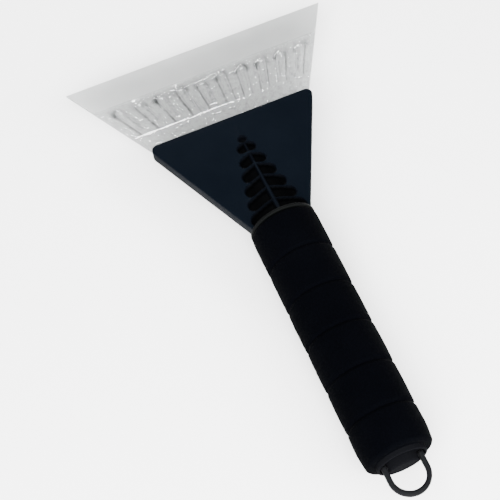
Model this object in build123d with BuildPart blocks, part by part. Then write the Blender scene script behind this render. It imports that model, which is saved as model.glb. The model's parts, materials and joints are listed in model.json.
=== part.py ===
from build123d import *
from math import cos, radians, sin, sqrt
import os

# Windshield ice scraper: a clear ribbed blade clamped in a two-piece head, a tube handle with a foam
# grip, and an end cap with a hang loop that tilts. All sizes are in millimetres.
# +Y runs along the handle towards the blade, +X across it and +Z up. The origin is on the handle's
# axis, in the middle of the grip's third segment counted from the head.

# How far a cutter runs past the face that it starts from
CLEAR = 1.0

# Foam grip
GRIP_R = 16.5
SEGMENTS = 6
SEGMENT_PITCH = 21.3
LAST_SEGMENT = 18.8
GROOVE_WIDTH = 3.4
GROOVE_DEPTH = 0.7
GRIP_SHOULDER_R = 2.2
TAPER_LENGTH = 10.0
TAPER_DROP = 0.9
GRIP_FRONT = 2.5 * SEGMENT_PITCH
GRIP_BACK = GRIP_FRONT - (SEGMENTS - 1) * SEGMENT_PITCH - LAST_SEGMENT

# Handle tube, the ring that stops the foam, and the cross pin that holds the head
TUBE_R = 10.0
TUBE_BORE_R = 8.5
SLIP = 0.05
THREAD_SLIP = 0.02
RING_R = 16.3
RING_WIDTH = 1.6
RING_EDGE_R = 0.5
PIN_R = 1.5
PIN_LENGTH = 2 * TUBE_R - 0.6
PIN_EDGE_R = 0.3
PIN_FROM_HEAD = 14.0

# Head: a plate that widens from the ring to the blade, on a round neck and a hollow spigot
HEAD_BACK = GRIP_FRONT + RING_WIDTH
HEAD_LENGTH = 64.2
HEAD_FRONT = HEAD_BACK + HEAD_LENGTH
HEAD_HALF_BACK = 14.6
HEAD_HALF_FRONT = 44.1
HEAD_TOP = 5.5
HEAD_BOTTOM = -2.0
HEAD_CORNER_R = 3.0
HEAD_EDGE_R = 0.8
HEAD_WALL = 1.6
COVER_TOP = 0.0
COVER_BACK = HEAD_BACK + 20.0
CAVITY_TOP = 3.7
CAVITY_BACK = COVER_BACK + 2.0
NECK_RISE = 11.0
NECK_LENGTH = 16.0
SPIGOT_R = TUBE_BORE_R - SLIP
SPIGOT_BORE_R = 6.4
SPIGOT_LENGTH = 32.0
SIDE_SLOPE = (HEAD_HALF_FRONT - HEAD_HALF_BACK) / HEAD_LENGTH

# Thumb rest: a crowned ramp on the head, with a fir-tree tread of rounded hollows
RAMP_START = 0.6
RAMP_LENGTH = 50.0
RAMP_BACK_HALF = 14.0
RAMP_BACK_RISE = 10.6
RAMP_TIP_HALF = 4.5
RAMP_TIP_RISE = 5.6
TREAD_ROWS = 6
TREAD_PITCH = 7.7
TREAD_FIRST = HEAD_BACK + 45.0
TREAD_SWEEP = 22.0
TREAD_CUTTER_R = 3.2
TREAD_DEPTH = 1.0
TREAD_INNER = 2.6
TREAD_INNER_GROWTH = 0.1
TREAD_REACH = 1.8
TREAD_GROWTH = 1.55
TIP_HOLLOW_R = 2.0
TIP_HOLLOW_AHEAD = 5.4

# Blade: a wedge with a raised root band, fanned ribs and a plain scraping bevel
BLADE_REACH = 51.2
BLADE_HALF_TIP = 70.0
BLADE_HALF_ROOT = 42.15
ROOT_TOP = 4.3
ROOT_STEP_TOP = 4.1
ROOT_BAND = 9.0
ROOT_SLIP = 0.1
BEVEL_FROM = 31.0
RIB_FLOOR_BACK = 2.5
RIB_FLOOR_FRONT = 1.9
TIP_TOP = 0.0
TIP_BOTTOM = -0.9
TANG_LENGTH = 26.0
TANG_TOP = 3.2
ROOT_IN_HEAD = 4.0
RIBS = 10
RIB_PITCH = 10.2
RIB_WIDTH = 6.0
RIB_TOP = 4.0
RIB_END_TOP = 3.3
RIB_LEAN = 20.0
RIB_SUNK = 1.0
RIB_RUN_OUT = 3.0

# Screws that close the head: countersunk self-tapping screws from below
SCREW_SHANK_R = 1.2
SCREW_HEAD_R = 2.6
SCREW_HEAD_H = 1.4
SCREW_TIP = 3.3
PILOT_PAST_TIP = 0.3
COVER_HOLE_SLIP = 0.2
SCREW_DRIVE_R = 1.2
SCREW_DRIVE_SLOT = 0.6
SCREW_DRIVE_DEPTH = 0.8
BOSS_R = 3.0
BOSS_CLEARANCE = 0.15
TANG_SCREW_X = 24.0
TANG_SCREW_Y = HEAD_FRONT - 13.0
REAR_SCREW_X = 10.5
REAR_SCREW_Y = CAVITY_BACK + 5.5
TANG_SPOTS = [(-TANG_SCREW_X, TANG_SCREW_Y), (TANG_SCREW_X, TANG_SCREW_Y)]
REAR_SPOTS = [(-REAR_SCREW_X, REAR_SCREW_Y), (REAR_SCREW_X, REAR_SCREW_Y)]
SCREW_SPOTS = TANG_SPOTS + REAR_SPOTS

# End cap: a plug with a rimmed flange and an oval boss that carries the loop
CAP_R = 11.7
CAP_RIM_INNER_R = 10.6
CAP_FLOOR = GRIP_BACK - 0.2
CAP_DISC = 1.3
CAP_RECESS = 2.0
CAP_RIM_BACK = CAP_FLOOR - CAP_RECESS
PLUG_LENGTH = 16.0
PLUG_BORE_R = 6.3
CRUSH_RIBS = 6
CRUSH_RIB_R = 0.6
BOSS_HALF_X = 7.2
BOSS_HALF_Z = 4.2
BOSS_EDGE_R = 0.5
CAP_EDGE_R = 0.4

# Hang loop: two straight arms and a half round, hinged on pegs in the boss's sides
HINGE_FROM_FLOOR = 2.1
BOSS_PAST_HINGE = 1.9
HINGE_Y = CAP_FLOOR - HINGE_FROM_FLOOR
BOSS_BACK = HINGE_Y - BOSS_PAST_HINGE
LOOP_HALF_SPAN = 8.6
LOOP_ARM = 5.8
LOOP_WIDTH = 2.35
LOOP_HEIGHT = 3.5
LOOP_ROUND = 0.7
LOOP_EYE_R = LOOP_HEIGHT / 2
PEG_R = 0.95
PEG_HOLE_R = 1.0
PEG_LENGTH = 2.0
PEG_ROOT = 0.5
PEG_END_GAP = 0.2
LOOP_INNER = LOOP_HALF_SPAN - LOOP_WIDTH / 2


def head_half_width(y):
    """Half the head's width at a place along the handle."""
    return HEAD_HALF_BACK + SIDE_SLOPE * (y - HEAD_BACK)


def ramp_height(x, y):
    """Height of the head's top face, thumb rest included."""
    share = (y - HEAD_BACK - RAMP_START) / (RAMP_LENGTH - RAMP_START)
    half = RAMP_BACK_HALF + (RAMP_TIP_HALF - RAMP_BACK_HALF) * share
    rise = RAMP_BACK_RISE + (RAMP_TIP_RISE - RAMP_BACK_RISE) * share
    if abs(x) >= half:
        return HEAD_TOP
    return max(HEAD_TOP, rise * sqrt(1 - (x / half) ** 2))


def ring_of(inner, outer, back, front):
    """A ring or a tube along the handle."""
    with BuildPart() as ring:
        with BuildSketch(Plane.XZ.offset(-front)):
            Circle(outer)
            Circle(inner, mode=Mode.SUBTRACT)
        extrude(amount=front - back)
    return ring.part


def head_outline(back, front, inset=0.0):
    """The head's tapering plan between two places along the handle, drawn on XY."""
    inward = inset * sqrt(1 + SIDE_SLOPE**2)
    wide, narrow = head_half_width(front) - inward, head_half_width(back) - inward
    return [(-narrow, back), (narrow, back), (wide, front), (-wide, front)]


def tread_lobe(side, row):
    """The two ends of a tread hollow, as points on the head's surface."""
    y = TREAD_FIRST - row * TREAD_PITCH
    length = TREAD_REACH + TREAD_GROWTH * row
    run = length * cos(radians(TREAD_SWEEP))
    drop = length * sin(radians(TREAD_SWEEP))
    inner_x = TREAD_INNER + TREAD_INNER_GROWTH * row
    ends = [(inner_x, y), (inner_x + run, y - drop)]
    return [Vector(side * x, v, ramp_height(x, v) - TREAD_DEPTH + TREAD_CUTTER_R) for x, v in ends]


# --- scraper_blade -------------------------------------------------------------------------------
BLADE_TIP = HEAD_FRONT + BLADE_REACH
RIB_BACK = HEAD_FRONT + ROOT_BAND
RIB_FRONT = HEAD_FRONT + BEVEL_FROM
RIB_SPAN = RIB_FRONT - RIB_BACK

with BuildPart() as rib_field:
    with BuildSketch(Plane.XY):
        for index in range(RIBS):
            x = (index - (RIBS - 1) / 2) * RIB_PITCH
            lean = RIB_LEAN * x / BLADE_HALF_ROOT
            middle = (x, (RIB_BACK + RIB_FRONT) / 2)
            with Locations(Location(middle, -lean)):
                RectangleRounded(RIB_WIDTH, RIB_SPAN + 2 * CLEAR, RIB_WIDTH / 3)
    extrude(amount=RIB_TOP)
    with BuildSketch(Plane.YZ):
        with BuildLine():
            Polyline(
                (RIB_BACK - CLEAR, RIB_SUNK),
                (RIB_BACK - CLEAR, RIB_TOP),
                (RIB_FRONT - RIB_RUN_OUT, RIB_END_TOP),
                (RIB_FRONT + CLEAR, RIB_SUNK),
                close=True,
            )
        make_face()
    extrude(amount=BLADE_HALF_TIP, both=True, mode=Mode.INTERSECT)

with BuildPart() as scraper_blade:
    with BuildSketch(Plane.YZ):
        with BuildLine():
            Polyline(
                (HEAD_FRONT - TANG_LENGTH, COVER_TOP),
                (HEAD_FRONT, COVER_TOP),
                (BLADE_TIP, TIP_BOTTOM),
                (BLADE_TIP, TIP_TOP),
                (RIB_FRONT, RIB_FLOOR_FRONT),
                (RIB_BACK, RIB_FLOOR_BACK),
                (RIB_BACK, ROOT_STEP_TOP),
                (HEAD_FRONT, ROOT_TOP),
                (HEAD_FRONT - ROOT_IN_HEAD, ROOT_TOP),
                (HEAD_FRONT - ROOT_IN_HEAD, TANG_TOP),
                (HEAD_FRONT - TANG_LENGTH, TANG_TOP),
                close=True,
            )
        make_face()
    extrude(amount=BLADE_HALF_TIP + CLEAR, both=True)
    add(rib_field.part)
    tang_half = BLADE_HALF_ROOT - SIDE_SLOPE * TANG_LENGTH
    with BuildSketch(Plane.XY.offset(TIP_BOTTOM - CLEAR)):
        with BuildLine():
            Polyline(
                (-BLADE_HALF_TIP, BLADE_TIP + CLEAR),
                (-BLADE_HALF_TIP, BLADE_TIP),
                (-BLADE_HALF_ROOT, HEAD_FRONT),
                (-tang_half, HEAD_FRONT - TANG_LENGTH),
                (tang_half, HEAD_FRONT - TANG_LENGTH),
                (BLADE_HALF_ROOT, HEAD_FRONT),
                (BLADE_HALF_TIP, BLADE_TIP),
                (BLADE_HALF_TIP, BLADE_TIP + CLEAR),
                close=True,
            )
        make_face()
    extrude(amount=ROOT_TOP - TIP_BOTTOM + 2 * CLEAR, mode=Mode.INTERSECT)
    with BuildSketch(Plane.XY):
        with Locations(*TANG_SPOTS):
            Circle(BOSS_R + BOSS_CLEARANCE)
    extrude(amount=ROOT_TOP, mode=Mode.SUBTRACT)

# --- head_body -----------------------------------------------------------------------------------
# The thumb rest is the upper half of a long elliptical cone.
with BuildPart() as thumb_rest:
    with BuildSketch(Plane.XZ.offset(-HEAD_BACK - RAMP_START)) as ramp_back:
        Ellipse(RAMP_BACK_HALF, RAMP_BACK_RISE)
    with BuildSketch(Plane.XZ.offset(-HEAD_BACK - RAMP_LENGTH)) as ramp_tip:
        Ellipse(RAMP_TIP_HALF, RAMP_TIP_RISE)
    loft([ramp_back.sketch.face(), ramp_tip.sketch.face()])
    split(bisect_by=Plane.XY.offset(ROOT_TOP), keep=Keep.TOP)

# Tread: swept-back hollows in pairs, and one round hollow ahead of them.
with BuildPart() as tread:
    for tread_row in range(TREAD_ROWS):
        for side in (-1, 1):
            inner, outer = tread_lobe(side, tread_row)
            with BuildSketch(Plane(origin=inner, z_dir=outer - inner)):
                Circle(TREAD_CUTTER_R)
            extrude(amount=(outer - inner).length)
            with Locations(inner, outer):
                Sphere(TREAD_CUTTER_R)
    tip_y = TREAD_FIRST + TIP_HOLLOW_AHEAD
    with Locations((0, tip_y, ramp_height(0, tip_y) + TIP_HOLLOW_R - TREAD_DEPTH)):
        Sphere(TIP_HOLLOW_R)

with BuildPart() as head_body:
    with BuildSketch(Plane.XY.offset(COVER_TOP)):
        Polygon(*head_outline(HEAD_BACK, HEAD_FRONT), align=None)
    extrude(amount=HEAD_TOP - COVER_TOP)
    corners = head_body.edges().filter_by(Axis.Z).group_by(Axis.Y)[-1]
    fillet(corners, HEAD_CORNER_R)
    top_edges = head_body.faces().sort_by(Axis.Z)[-1].edges()
    rim = top_edges.filter_by_position(Axis.Y, HEAD_BACK + CLEAR, HEAD_FRONT + CLEAR)
    fillet(rim, HEAD_EDGE_R)
    # The back of the plate is as deep as the head, and the cover starts where it ends.
    with BuildSketch(Plane.XY.offset(HEAD_BOTTOM)):
        Polygon(*head_outline(HEAD_BACK, COVER_BACK), align=None)
    extrude(amount=HEAD_TOP - HEAD_BOTTOM - 2 * HEAD_EDGE_R)
    # The neck blends from the ring to the plate.
    with BuildSketch(Plane.XZ.offset(-HEAD_BACK)) as neck_back:
        Ellipse(HEAD_HALF_BACK, NECK_RISE)
    with BuildSketch(Plane.XZ.offset(-HEAD_BACK - NECK_LENGTH)) as neck_front:
        with Locations((0, (HEAD_TOP + HEAD_BOTTOM) / 2)):
            Ellipse(head_half_width(HEAD_BACK + NECK_LENGTH) - HEAD_CORNER_R, (HEAD_TOP - HEAD_BOTTOM) / 2)
    loft([neck_back.sketch.face(), neck_front.sketch.face()])
    add(thumb_rest.part)
    # Hollow under the plate, with a taller slot at the front for the blade's root.
    with BuildSketch(Plane.XY.offset(COVER_TOP)):
        Polygon(*head_outline(CAVITY_BACK, HEAD_FRONT + CLEAR, HEAD_WALL), align=None)
    extrude(amount=CAVITY_TOP - COVER_TOP, mode=Mode.SUBTRACT)
    with BuildSketch(Plane.XY.offset(COVER_TOP)):
        slot_back = HEAD_FRONT - ROOT_IN_HEAD - ROOT_SLIP
        Polygon(*head_outline(slot_back, HEAD_FRONT + CLEAR, HEAD_WALL), align=None)
    extrude(amount=ROOT_TOP + ROOT_SLIP - COVER_TOP, mode=Mode.SUBTRACT)
    with BuildSketch(Plane.XY.offset(COVER_TOP)):
        with Locations(*SCREW_SPOTS):
            Circle(BOSS_R)
    extrude(amount=CAVITY_TOP - COVER_TOP)
    with BuildSketch(Plane.XY.offset(COVER_TOP)):
        with Locations(*SCREW_SPOTS):
            Circle(SCREW_SHANK_R + THREAD_SLIP)
    extrude(amount=SCREW_TIP + PILOT_PAST_TIP, mode=Mode.SUBTRACT)
    # Spigot that fills the front of the handle tube.
    with BuildSketch(Plane.XZ.offset(-HEAD_BACK)):
        Circle(SPIGOT_R)
    extrude(amount=SPIGOT_LENGTH)
    with BuildSketch(Plane.XZ.offset(-HEAD_BACK + SPIGOT_LENGTH)):
        Circle(SPIGOT_BORE_R)
    extrude(amount=-SPIGOT_LENGTH, mode=Mode.SUBTRACT)
    with Locations(Location((0, HEAD_BACK - PIN_FROM_HEAD, 0), (0, 90, 0))):
        Cylinder(PIN_R + THREAD_SLIP, 2 * SPIGOT_R + 2 * CLEAR, mode=Mode.SUBTRACT)
    add(tread.part, mode=Mode.SUBTRACT)

# --- head_cover ----------------------------------------------------------------------------------
with BuildPart() as head_cover:
    with BuildSketch(Plane.XY.offset(HEAD_BOTTOM)):
        Polygon(*head_outline(COVER_BACK + SLIP, HEAD_FRONT), align=None)
    extrude(amount=COVER_TOP - HEAD_BOTTOM)
    cover_corners = head_cover.edges().filter_by(Axis.Z).group_by(Axis.Y)[-1]
    fillet(cover_corners, HEAD_CORNER_R)
    bottom_edges = head_cover.faces().sort_by(Axis.Z)[0].edges()
    fillet(bottom_edges.filter_by_position(Axis.Y, COVER_BACK + CLEAR, HEAD_FRONT + CLEAR), HEAD_EDGE_R)
    with Locations(Plane.XY.offset(HEAD_BOTTOM).rotated((180, 0, 0))):
        with Locations(*[(x, -y) for x, y in SCREW_SPOTS]):
            hole_depth = COVER_TOP - HEAD_BOTTOM + CLEAR
            CounterSinkHole(SCREW_SHANK_R + COVER_HOLE_SLIP, SCREW_HEAD_R + COVER_HOLE_SLIP, hole_depth)

# --- head_screws ---------------------------------------------------------------------------------
with BuildPart() as head_screws:
    with Locations(*[(x, y, HEAD_BOTTOM + SCREW_HEAD_H / 2) for x, y in SCREW_SPOTS]):
        Cone(SCREW_HEAD_R, SCREW_SHANK_R, SCREW_HEAD_H)
    with BuildSketch(Plane.XY.offset(HEAD_BOTTOM + SCREW_HEAD_H)):
        with Locations(*SCREW_SPOTS):
            Circle(SCREW_SHANK_R)
    extrude(amount=SCREW_TIP - HEAD_BOTTOM - SCREW_HEAD_H)
    with BuildSketch(Plane.XY.offset(HEAD_BOTTOM)):
        for spot in SCREW_SPOTS:
            with Locations(spot):
                Rectangle(2 * SCREW_DRIVE_R, SCREW_DRIVE_SLOT)
                Rectangle(SCREW_DRIVE_SLOT, 2 * SCREW_DRIVE_R)
    extrude(amount=SCREW_DRIVE_DEPTH, mode=Mode.SUBTRACT)

# --- collar_ring, handle_tube and spigot_pin -----------------------------------------------------
with BuildPart() as collar_ring:
    add(ring_of(TUBE_R + SLIP, RING_R, GRIP_FRONT, HEAD_BACK))
    ring_edges = collar_ring.edges().filter_by(GeomType.CIRCLE).group_by(SortBy.RADIUS)[-1]
    fillet(ring_edges, RING_EDGE_R)

with BuildPart() as handle_tube:
    add(ring_of(TUBE_BORE_R, TUBE_R, CAP_FLOOR + CAP_DISC, HEAD_BACK))
    with Locations(Location((0, HEAD_BACK - PIN_FROM_HEAD, 0), (0, 90, 0))):
        Cylinder(PIN_R + THREAD_SLIP, 2 * TUBE_R + 2 * CLEAR, mode=Mode.SUBTRACT)

with BuildPart() as spigot_pin:
    with Locations(Location((0, HEAD_BACK - PIN_FROM_HEAD, 0), (0, 90, 0))):
        Cylinder(PIN_R, PIN_LENGTH)
    fillet(spigot_pin.edges().filter_by(GeomType.CIRCLE), PIN_EDGE_R)

# --- foam_grip -----------------------------------------------------------------------------------
TAPER_START = GRIP_BACK + TAPER_LENGTH
END_R = GRIP_R - TAPER_DROP
CAP_POCKET_Y = CAP_FLOOR + CAP_DISC + SLIP

with BuildPart() as foam_grip:
    with BuildSketch(Plane.XY):
        with BuildLine():
            bore = TUBE_R + SLIP
            Line((bore, GRIP_FRONT), (GRIP_R - GRIP_SHOULDER_R, GRIP_FRONT))
            shoulder_centre = (GRIP_R - GRIP_SHOULDER_R, GRIP_FRONT - GRIP_SHOULDER_R)
            CenterArc(shoulder_centre, GRIP_SHOULDER_R, 0, 90)
            last = (GRIP_R, GRIP_FRONT - GRIP_SHOULDER_R)
            for groove in range(1, SEGMENTS):
                y = GRIP_FRONT - groove * SEGMENT_PITCH
                top, bottom = (GRIP_R, y + GROOVE_WIDTH / 2), (GRIP_R, y - GROOVE_WIDTH / 2)
                Line(last, top)
                ThreePointArc(top, (GRIP_R - GROOVE_DEPTH, y), bottom)
                last = bottom
            Line(last, (GRIP_R, TAPER_START))
            Line((GRIP_R, TAPER_START), (END_R, GRIP_BACK + GRIP_SHOULDER_R))
            end_arc_start = (END_R, GRIP_BACK + GRIP_SHOULDER_R)
            end_arc = RadiusArc(end_arc_start, (END_R - GRIP_SHOULDER_R, GRIP_BACK), GRIP_SHOULDER_R)
            Line(end_arc @ 1, (CAP_R + SLIP, GRIP_BACK))
            Line((CAP_R + SLIP, GRIP_BACK), (CAP_R + SLIP, CAP_POCKET_Y))
            Line((CAP_R + SLIP, CAP_POCKET_Y), (bore, CAP_POCKET_Y))
            Line((bore, CAP_POCKET_Y), (bore, GRIP_FRONT))
        make_face()
    revolve(axis=Axis.Y)

# --- end_cap -------------------------------------------------------------------------------------
with BuildPart() as end_cap:
    add(ring_of(CAP_RIM_INNER_R, CAP_R, CAP_RIM_BACK, CAP_FLOOR + CAP_DISC))
    fillet(end_cap.edges().filter_by(GeomType.CIRCLE).group_by(Axis.Y)[0], CAP_EDGE_R)
    add(ring_of(PLUG_BORE_R, CAP_RIM_INNER_R, CAP_FLOOR, CAP_FLOOR + CAP_DISC))
    with BuildSketch(Plane.XZ.offset(-CAP_FLOOR - CAP_DISC - PLUG_LENGTH)):
        Circle(TUBE_BORE_R - 2 * SLIP)
    extrude(amount=PLUG_LENGTH)
    with BuildSketch(Plane.XZ.offset(-CAP_FLOOR - CAP_DISC - PLUG_LENGTH)):
        with PolarLocations(TUBE_BORE_R - SLIP - CRUSH_RIB_R, CRUSH_RIBS):
            Circle(CRUSH_RIB_R)
    extrude(amount=PLUG_LENGTH)
    with BuildSketch(Plane.XZ.offset(-CAP_FLOOR)):
        Ellipse(BOSS_HALF_X, BOSS_HALF_Z)
    extrude(amount=CAP_FLOOR - BOSS_BACK)
    fillet(end_cap.faces().sort_by(Axis.Y)[0].edges(), BOSS_EDGE_R)
    with BuildSketch(Plane.XZ.offset(-CAP_FLOOR - CAP_DISC - PLUG_LENGTH)):
        Circle(PLUG_BORE_R)
    extrude(amount=PLUG_LENGTH, mode=Mode.SUBTRACT)
    with BuildSketch(Plane.XZ.offset(-CAP_FLOOR)):
        Circle(PLUG_BORE_R)
    extrude(amount=-CAP_DISC)
    peg_depth = PEG_LENGTH + PEG_END_GAP
    for side in (-1, 1):
        with Locations(Location((side * (LOOP_INNER - peg_depth / 2), HINGE_Y, 0), (0, 90, 0))):
            Cylinder(PEG_HOLE_R, peg_depth, mode=Mode.SUBTRACT)

# --- hang_loop -----------------------------------------------------------------------------------
with BuildPart() as hang_loop:
    with BuildLine() as loop_line:
        left = Line((-LOOP_HALF_SPAN, HINGE_Y), (-LOOP_HALF_SPAN, HINGE_Y - LOOP_ARM))
        bow_middle = (0, HINGE_Y - LOOP_ARM - LOOP_HALF_SPAN)
        bow = ThreePointArc(left @ 1, bow_middle, (LOOP_HALF_SPAN, HINGE_Y - LOOP_ARM))
        Line(bow @ 1, (LOOP_HALF_SPAN, HINGE_Y))
    with BuildSketch(Plane(origin=(-LOOP_HALF_SPAN, HINGE_Y, 0), x_dir=(1, 0, 0), z_dir=(0, -1, 0))):
        RectangleRounded(LOOP_WIDTH, LOOP_HEIGHT, LOOP_ROUND)
    sweep(path=loop_line.wires()[0])
    for side in (-1, 1):
        with Locations(Location((side * LOOP_HALF_SPAN, HINGE_Y, 0), (0, 90, 0))):
            Cylinder(LOOP_EYE_R, LOOP_WIDTH)
        peg_x = side * (LOOP_INNER + (PEG_ROOT - PEG_LENGTH) / 2)
        with Locations(Location((peg_x, HINGE_Y, 0), (0, 90, 0))):
            Cylinder(PEG_R, PEG_LENGTH + PEG_ROOT)

# --- export --------------------------------------------------------------------------------------
os.makedirs("parts", exist_ok=True)
PIECES = {
    "scraper_blade": scraper_blade,
    "head_body": head_body,
    "head_cover": head_cover,
    "head_screws": head_screws,
    "collar_ring": collar_ring,
    "handle_tube": handle_tube,
    "spigot_pin": spigot_pin,
    "foam_grip": foam_grip,
    "end_cap": end_cap,
    "hang_loop": hang_loop,
}
for name, piece in PIECES.items():
    piece.part.label = name
    export_step(piece.part, f"parts/{name}.step")
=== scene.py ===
import json
from math import acos, atan, cos, hypot, pi, radians, sin, sqrt

import bmesh
import bpy
from mathutils import Matrix, Vector, noise


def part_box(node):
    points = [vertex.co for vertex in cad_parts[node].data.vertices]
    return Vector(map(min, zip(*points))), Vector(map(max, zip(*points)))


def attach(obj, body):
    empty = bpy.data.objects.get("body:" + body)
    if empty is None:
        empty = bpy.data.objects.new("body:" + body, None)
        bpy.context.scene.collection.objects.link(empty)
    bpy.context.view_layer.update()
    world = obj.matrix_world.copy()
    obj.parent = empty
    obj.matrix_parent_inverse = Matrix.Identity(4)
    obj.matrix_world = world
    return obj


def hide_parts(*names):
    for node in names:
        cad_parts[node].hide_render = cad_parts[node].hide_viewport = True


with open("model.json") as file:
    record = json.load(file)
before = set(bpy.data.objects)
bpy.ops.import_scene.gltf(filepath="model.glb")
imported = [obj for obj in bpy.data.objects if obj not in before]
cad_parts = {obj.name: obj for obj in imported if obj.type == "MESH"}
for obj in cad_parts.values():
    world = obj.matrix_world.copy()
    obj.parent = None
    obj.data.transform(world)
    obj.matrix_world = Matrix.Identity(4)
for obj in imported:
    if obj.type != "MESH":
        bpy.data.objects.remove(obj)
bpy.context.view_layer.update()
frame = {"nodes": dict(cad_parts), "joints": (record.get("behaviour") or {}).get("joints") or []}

# Windshield ice scraper. +Y runs along the handle towards the blade, +X across it and +Z up, in metres.

MM = 0.001
MERGE = 0.001 * MM
SHARP = 0.01 * MM

# --------------------------------------------
# Places, read from the frame

BLADE_LOW, BLADE_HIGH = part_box("scraper_blade")
HEAD_LOW, HEAD_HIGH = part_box("head_body")
COVER_LOW, COVER_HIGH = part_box("head_cover")
RING_LOW, RING_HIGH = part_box("collar_ring")
GRIP_LOW, GRIP_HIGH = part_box("foam_grip")
TUBE_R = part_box("handle_tube")[1].x
CAP_LOW, CAP_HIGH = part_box("end_cap")
LOOP_LOW, LOOP_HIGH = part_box("hang_loop")
HINGE = Vector(frame["joints"][0]["pos_m"])

HEAD_BACK = RING_HIGH.y
HEAD_FRONT = HEAD_HIGH.y
BLADE_TIP = BLADE_HIGH.y
COVER_BACK = COVER_LOW.y

# --------------------------------------------
# Shaping helpers


def smooth_step(low, high, value):
    """0 below low, 1 above high, and a smooth curve between them."""
    share = min(max((value - low) / (high - low), 0.0), 1.0)
    return share * share * (3 - 2 * share)


def between(low, high, share):
    """The value that lies a share of the way from low to high."""
    return low + (high - low) * share


def soft_max(a, b, reach):
    """The larger of two heights, with a fillet where they cross."""
    return max(a, b) + max(reach - abs(a - b), 0.0) ** 2 / (4 * reach)


def ladder(*spans):
    """Places one after another, from spans of (start, end, number of steps)."""
    places = [spans[0][0]]
    for start, end, steps in spans:
        places += [between(start, end, (step + 1) / steps) for step in range(steps)]
    return places


def round_edge(depth, radius):
    """How far a rounded edge has dropped, at a depth in from the edge."""
    return radius - sqrt(radius**2 - max(radius - depth, 0.0) ** 2)


def new_mesh(name):
    """An empty object at the origin with a fresh bmesh to fill it."""
    piece = bpy.data.objects.new(name, bpy.data.meshes.new(name))
    bpy.context.scene.collection.objects.link(piece)
    return piece, bmesh.new()


def close_mesh(piece, bm):
    """Writes a bmesh into its piece, with its doubles merged and its faces pointing outwards."""
    bmesh.ops.remove_doubles(bm, verts=bm.verts, dist=MERGE)
    bmesh.ops.dissolve_degenerate(bm, edges=bm.edges, dist=MERGE)
    bmesh.ops.recalc_face_normals(bm, faces=bm.faces)
    bm.to_mesh(piece.data)
    bm.free()


def finish_piece(piece, material, crease=35.0):
    """Smooth shading except at the creases, and the piece's material."""
    for polygon in piece.data.polygons:
        polygon.use_smooth = True
    piece.data.set_sharp_from_angle(angle=radians(crease))
    piece.data.materials.append(material)


def carve(piece, operation, cutter, bm):
    """Adds a cutter, still in its bmesh, to a piece or takes it away, and keeps the result as the mesh."""
    close_mesh(cutter, bm)
    joint = piece.modifiers.new("carve", "BOOLEAN")
    joint.operation = operation
    joint.solver = "EXACT"
    joint.object = cutter
    shaped = piece.evaluated_get(bpy.context.evaluated_depsgraph_get())
    result = bpy.data.meshes.new_from_object(shaped)
    piece.modifiers.remove(joint)
    old = piece.data
    piece.data = result
    bpy.data.meshes.remove(old)
    result.name = piece.name
    bpy.data.objects.remove(cutter)


def paint(piece, name, shade):
    """Stores a value for each vertex, worked out from where the vertex is."""
    layer = piece.data.attributes.new(name, "FLOAT", "POINT")
    layer.data.foreach_set("value", [shade(vertex.co) for vertex in piece.data.vertices])


def turned(bm, profile, steps=96, closed=True):
    """Turns a profile of (radius, y) points about the handle's axis."""
    points = [bm.verts.new((radius, y, 0)) for radius, y in profile]
    edges = [bm.edges.new(pair) for pair in zip(points, points[1:])]
    if closed:
        edges.append(bm.edges.new((points[-1], points[0])))
    bmesh.ops.spin(
        bm, geom=points + edges, cent=(0, 0, 0), axis=(0, 1, 0), angle=2 * pi, steps=steps, use_merge=True
    )


def rounded(corners, steps=5):
    """A closed outline of (u, v, radius) corners, each rounded by its own radius."""
    outline = []
    for index, (u, v, radius) in enumerate(corners):
        here = Vector((u, v))
        before = (Vector(corners[index - 1][:2]) - here).normalized()
        after = (Vector(corners[(index + 1) % len(corners)][:2]) - here).normalized()
        if radius == 0:
            outline.append(here)
            continue
        half = acos(before.dot(after)) / 2
        inward = (before + after).normalized()
        centre = here + inward * radius / sin(half)
        turn = pi / 2 - half
        side = 1 if before.cross(after) < 0 else -1
        for step in range(steps + 1):
            angle = side * between(-turn, turn, step / steps)
            outline.append(centre - Matrix.Rotation(angle, 2) @ inward * radius)
    return outline


def prism(bm, outline, low, high):
    """A closed prism over an (x, y) outline, between two heights."""
    base = bm.faces.new([bm.verts.new((x, y, low)) for x, y in outline])
    top = bmesh.ops.extrude_face_region(bm, geom=[base])
    risen = [item for item in top["geom"] if isinstance(item, bmesh.types.BMVert)]
    bmesh.ops.translate(bm, verts=risen, vec=(0, 0, high - low))


def rod(bm, radius, length, place, steps=32):
    """A closed rod of a length, centred and turned by a matrix."""
    bmesh.ops.create_cone(
        bm, cap_ends=True, segments=steps, radius1=radius, radius2=radius, depth=length, matrix=place
    )


def sheet_pair(bm, columns, rows, place_top, place_bottom):
    """A closed slab: a top and a bottom grid of the same make, joined round their borders."""
    bmesh.ops.create_grid(bm, x_segments=columns - 1, y_segments=rows - 1, size=1.0)
    top = sorted(bm.verts, key=lambda vertex: (round(vertex.co.y, 5), vertex.co.x))
    copy = bmesh.ops.duplicate(bm, geom=bm.verts[:] + bm.edges[:] + bm.faces[:])
    twin = [item for item in copy["geom"] if isinstance(item, bmesh.types.BMVert)]
    bottom = sorted(twin, key=lambda vertex: (round(vertex.co.y, 5), vertex.co.x))
    border = [edge for edge in bm.edges if edge.is_boundary]
    for order, vertex in enumerate(top):
        vertex.co = place_top(order % columns, order // columns)
    for order, vertex in enumerate(bottom):
        vertex.co = place_bottom(order % columns, order // columns)
    bmesh.ops.bridge_loops(bm, edges=border)


# --------------------------------------------
# Materials


def empty_material(name):
    """A new material with nothing in its node tree yet."""
    material = bpy.data.materials.new(name)
    material.use_nodes = True
    material.node_tree.nodes.clear()
    return material, material.node_tree.nodes, material.node_tree.links


def set_out(columns):
    """Stands nodes in columns from left to right, so that the links run one way."""
    for column, stack in enumerate(columns):
        for row, node in enumerate(stack):
            node.location = (240 * column, -300 * row)


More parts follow.
